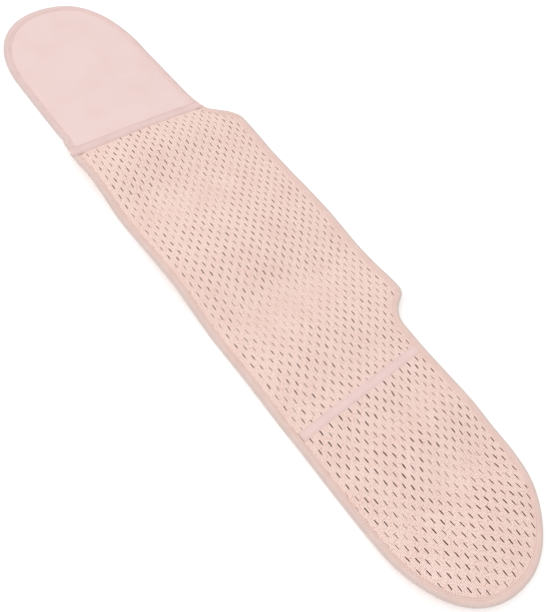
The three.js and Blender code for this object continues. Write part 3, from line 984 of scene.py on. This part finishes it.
def makeSewnTape(name, middleX, width, lean, overBindings, material):
    across, heights = np.array(tapeSection(width)).T
    inset = tapes["endInset"] if overBindings else edging["bindingWidth"] + tapes["endGap"]
    xs, ys, lift = tapeGrid(across, middleX, lean, inset, overBindings, tapes["step"])
    count = len(ys) - 1
    grid = np.column_stack([xs.ravel(), ys.ravel()])
    tops = lifted(grid, (lift + heights).ravel())
    unders = lifted(grid, lift.ravel())
    n = len(across)
    i, j = np.meshgrid(np.arange(count), np.arange(n - 1), indexing="ij")
    low = (i * n + j).ravel()
    faces = np.column_stack([low, low + 1, low + n + 1, low + n])
    shell = closedShell(faces, len(tops))
    points = np.concatenate([tops, unders])
    piece = meshFrom(name, points, shell, [material], sharpAngle=edging["sharpAngle"])
    # Painted shade in the stitch grooves, carried by the rim attribute
    fromGroove = (np.abs(across) - width / 2 + tapes["groove"]) / tapes["grooveWidth"]
    paintedGrooveShade = tapes["grooveShadeShare"] * np.exp(-(fromGroove**2))
    addPointValue(piece.data, "rim", np.tile(paintedGrooveShade, 2 * (count + 1)))
    places = np.column_stack([ys.ravel(), np.broadcast_to(across, ys.shape).ravel()])
    addSurfaceMap(piece.data, np.concatenate([places, places]))
    return piece


tailTapeX = tailX + tapes["tailShift"]
joinLine = (joinX, tapes["joinWidth"], band["seamLean"], True)
tailLine = (tailTapeX, tapes["tailWidth"], 0, False)
joinTape = makeSewnTape("joinTape", *joinLine, joinRibbonMaterial)
tailTape = makeSewnTape("tailTape", *tailLine, ribbonMaterial)
print("sewn tapes made")


# Stitches and ribs, grown along paths

stitching = {
    "pitch": 3.4,
    "length": 2.7,
    "thread": 0.5,
    "bindingInset": 8.6,
    "bindingLift": 1.5,
    "tapeLift": 0.1,  # over the floor of the groove
    "leastSize": (0.9, 0.9, 0.85),  # of single stitches, as shares
    "mostSize": (1.05, 1.1, 1.15),
    "lineStep": 2.0,
    "seed": 11,
}


def stitchingTree():
    sockets = [
        ("Pitch", "Float"), ("Stitch Length", "Float"), ("Thread Width", "Float"),
        ("Seed", "Int"), ("Material", "Material"),
    ]
    tree, given = startTree("sewAlong", sockets)
    curve = shapeNode(tree, "MeshToCurve", {"Mesh": given["Geometry"]})
    inputs = {"Curve": curve, "Length": given["Pitch"]}
    spaced = shapeNode(tree, "ResampleCurve", inputs, mode="LENGTH")
    ball = shapeNode(tree, "MeshUVSphere", {"Segments": 6, "Rings": 4, "Radius": 0.5})
    inputs = {0: given["Stitch Length"], 1: given["Thread Width"], 2: given["Thread Width"]}
    size = addNode(tree, "ShaderNodeCombineXYZ", inputs).outputs[0]
    stitch = shapeNode(tree, "Transform", {"Geometry": ball, "Scale": size})
    tangent = shapeNode(tree, "InputTangent")
    turned = addNode(tree, "FunctionNodeAlignRotationToVector", {"Vector": tangent}, axis="X").outputs[0]
    vary = randomVector(tree, stitching["leastSize"], stitching["mostSize"], given["Seed"])
    inputs = {"Points": spaced, "Instance": stitch, "Rotation": turned, "Scale": vary}
    placed = shapeNode(tree, "InstanceOnPoints", inputs)
    return endTree(tree, placed, given["Material"])


def lineMesh(name, lines):  # open lines of points in mm, as one mesh of edges
    points = np.concatenate(lines)
    edges, start = [], 0
    for line in lines:
        edges += [(start + k, start + k + 1) for k in range(len(line) - 1)]
        start += len(line)
    mesh = bpy.data.meshes.new(name)
    mesh.from_pydata((points * millimetre).tolist(), edges, [])
    return addObject(name, mesh)


sewAlong = stitchingTree()


def sew(name, lines, material):
    values = {
        "Pitch": stitching["pitch"] * millimetre,
        "Stitch Length": stitching["length"] * millimetre,
        "Thread Width": stitching["thread"] * millimetre,
        "Seed": stitching["seed"],
        "Material": material,
    }
    return grow(lineMesh(name, lines), sewAlong, values)


def bindingStitches(name, side, material):
    path = edgePath(side, stitching["lineStep"])
    plan = path["points"] + path["inward"] * stitching["bindingInset"]
    lines = [lifted(plan, lift) for lift in (stitching["bindingLift"], -stitching["bindingLift"])]
    return sew(name, lines, material)


def tapeStitches(name, middleX, width, lean, overBindings, material):
    across = (width / 2 - tapes["groove"]) * np.array([-1, 1])
    inset = tapes["stitchedFrom"]
    if not overBindings:
        inset += edging["bindingWidth"] + tapes["endGap"]
    xs, ys, lift = tapeGrid(across, middleX, lean, inset, overBindings, stitching["lineStep"])
    onTop = lift + tapes["thick"] - tapes["grooveDepth"] + stitching["tapeLift"]
    lines = [lifted(np.column_stack([xs[:, k], ys[:, k]]), onTop[:, k]) for k in (0, 1)]
    return sew(name, lines, material)


bodyStitches = bindingStitches("bodyBindingStitches", 1, rustThread)
tongueStitches = bindingStitches("tongueBindingStitches", -1, roseThread)
joinStitches = tapeStitches("joinTapeStitches", *joinLine, pinkThread)
tailStitches = tapeStitches("tailTapeStitches", *tailLine, pinkThread)


# Raised threads that wrap the fold of each binding

rib = {
    "pitch": 2.1,
    "width": 1.25,
    "leastWidth": 0.85,  # as a share, with the most
    "mostWidth": 1.1,
    "height": 0.28,
    "sunk": 0.12,
    "reach": 7.0,
    "reachLift": 1.78,  # of the binding's skin where a rib starts
    # a little of the binding fold's painted shade on every rib
    "paintedShadeShare": 0.12,
    "clearance": 0.5,  # from the join tape
    "seed": 5,
}


def makeRibBar():  # one closed thread bent round the fold, its tip on the edge and +Y into the cloth
    half = [(rib["reach"], rib["reachLift"])] + [p for p in binding["flap"] if p[0] < rib["reach"]]
    line = np.array(mirrored(half))
    way = np.gradient(line, axis=0)
    out = np.column_stack([-way[:, 1], way[:, 0]])
    out /= np.linalg.norm(out, axis=1)[:, None]
    if out[0, 1] < 0:
        out = -out
    side = rib["width"] / 2
    points = []
    for (d, lift), (outD, outLift) in zip(line, out):
        for x, rise in ((-side, -rib["sunk"]), (0, rib["height"]), (side, -rib["sunk"])):
            points.append((x, d + outD * rise, lift + outLift * rise))
    faces = []
    for s in range(len(line) - 1):
        for k in range(3):
            a, b = s * 3 + k, s * 3 + (k + 1) % 3
            faces.append((a, a + 3, b + 3, b))
    last = (len(line) - 1) * 3
    faces += [(0, 1, 2), (last, last + 2, last + 1)]
    return meshFrom("ribBar", points, faces)


def ribbingTree():
    sockets = [("Rib", "Object"), ("Seed", "Int"), ("Material", "Material")]
    tree, given = startTree("ribAlong", sockets)
    ribShape = addNode(tree, "GeometryNodeObjectInfo", {"Object": given["Rib"]}).outputs["Geometry"]
    facing = addNode(tree, "ShaderNodeCombineXYZ", {2: readValue(tree, "turn")}).outputs[0]
    vary = randomVector(tree, (rib["leastWidth"], 1, 1), (rib["mostWidth"], 1, 1), given["Seed"])
    inputs = {"Points": given["Geometry"], "Instance": ribShape, "Rotation": facing, "Scale": vary}
    placed = shapeNode(tree, "InstanceOnPoints", inputs)
    return endTree(tree, placed, given["Material"])


ribAlong = ribbingTree()
ribBar = makeRibBar()


def ribs(name, side, material):
    path = edgePath(side, rib["pitch"])
    fromJoin = np.abs(path["points"][:, 0] - seamAt(path["points"][:, 1]))
    clear = fromJoin > tapes["joinWidth"] / 2 + rib["clearance"]
    anchors = lifted(path["points"][clear], 0)
    piece = lineMesh(name, [anchors])
    inward = path["inward"][clear]
    addPointValue(piece.data, "turn", np.arctan2(-inward[:, 0], inward[:, 1]))
    grow(piece, ribAlong, {"Rib": ribBar, "Seed": rib["seed"], "Material": material})
    # Each rib lies on the binding's own waves
    points = readPoints(piece.data)
    anchorHeights = anchors[:, 2].repeat(len(ribBar.data.vertices))
    points[:, 2] += clothHeight(points[:, 0], points[:, 1]) - anchorHeights
    piece.data.vertices.foreach_set("co", (points * millimetre).astype(np.float32).ravel())
    addPointValue(piece.data, "rim", np.full(len(points), rib["paintedShadeShare"]))
    addSurfaceMap(piece.data, points[:, :2])
    piece.data.update()
    return piece


bodyRibs = ribs("bodyBindingRibs", 1, bodyTapeMaterial)
tongueRibs = ribs("tongueBindingRibs", -1, tongueTapeMaterial)
bpy.data.objects.remove(ribBar)
print("ribs:", len(bodyRibs.data.polygons) + len(tongueRibs.data.polygons), "faces")


# Floor, lights and world

studio = {
    "floorSide": 8000,
    "floorColour": "#f4f3f2",
    "floorGlow": 0.2,  # a light table: opal acrylic that is also lit from below
    "skyColour": "#ffffff",
    "skyStrength": 0.86,
    "keyPlace": (-1400, -2200, 3000),
    "keySide": 2200,
    "keyPower": 45.0,  # watts
}


def makeStudio():
    half = studio["floorSide"] / 2
    corners = [(-half, -half, 0), (half, -half, 0), (half, half, 0), (-half, half, 0)]
    glow = {"Emission Color": linear(studio["skyColour"]), "Emission Strength": studio["floorGlow"]}
    material, _, _ = newMaterial("opalAcrylic", studio["floorColour"], Roughness=0.9, **glow)
    floor = meshFrom("lightTable", corners, [(0, 1, 2, 3)], [material], smooth=False)
    world = bpy.data.worlds.new("studioSky")
    world.use_nodes = True
    sky = world.node_tree.nodes["Background"]
    sky.inputs["Color"].default_value = linear(studio["skyColour"])
    sky.inputs["Strength"].default_value = studio["skyStrength"]
    bpy.context.scene.world = world
    lamp = bpy.data.lights.new("keySoftbox", "AREA")
    lamp.size = studio["keySide"] * millimetre
    lamp.energy = studio["keyPower"]
    key = addObject("keySoftbox", lamp)
    key.location = [c * millimetre for c in studio["keyPlace"]]
    x, y, z = (-c for c in studio["keyPlace"])  # it looks at the origin
    key.rotation_euler = [math.atan2(math.hypot(x, y), -z), 0, math.atan2(y, x) - math.pi / 2]


makeStudio()
print("studio ready")


# Each piece hangs from the root body and hides the solids that it replaces; the slots listed here are not
# used, and the flat areas of the sheets are worked out but not kept

sheets = {
    "perforatedFlat": (0.243, 0.698),
    "tongueFlat": (0.203, 0.265),
}


def flatArea(side, flat):  # of the cut, from its edge
    points = edgePath(side, 1.0)["points"]
    x, y = points.T
    area = abs(np.dot(x, np.roll(y, -1)) - np.dot(y, np.roll(x, -1))) / 2 * millimetre**2
    return min(area, flat[0] * flat[1])


for piece, slot, *nodes in [
    (perforatedCloth, "panel_cloth", "perforated_panel"),
    (tongueCloth, "tongue_cloth", "fastening_tongue"),
    (bodyBinding, "body_binding_tape", "body_binding"),
    (tongueBinding, "tongue_binding_tape", "tongue_binding"),
    (joinTape, "sewn_tape", "join_tape"),
    (tailTape, "sewn_tape", "tail_tape"),
    (bodyStitches, "body_binding_tape"),
    (tongueStitches, "tongue_binding_tape"),
    (joinStitches, "sewn_tape"),
    (tailStitches, "sewn_tape"),
    (bodyRibs, "body_binding_tape"),
    (tongueRibs, "tongue_binding_tape"),
]:
    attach(piece, "root")
    if nodes:
        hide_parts(*nodes)

flatArea(1, sheets["perforatedFlat"])
flatArea(-1, sheets["tongueFlat"])
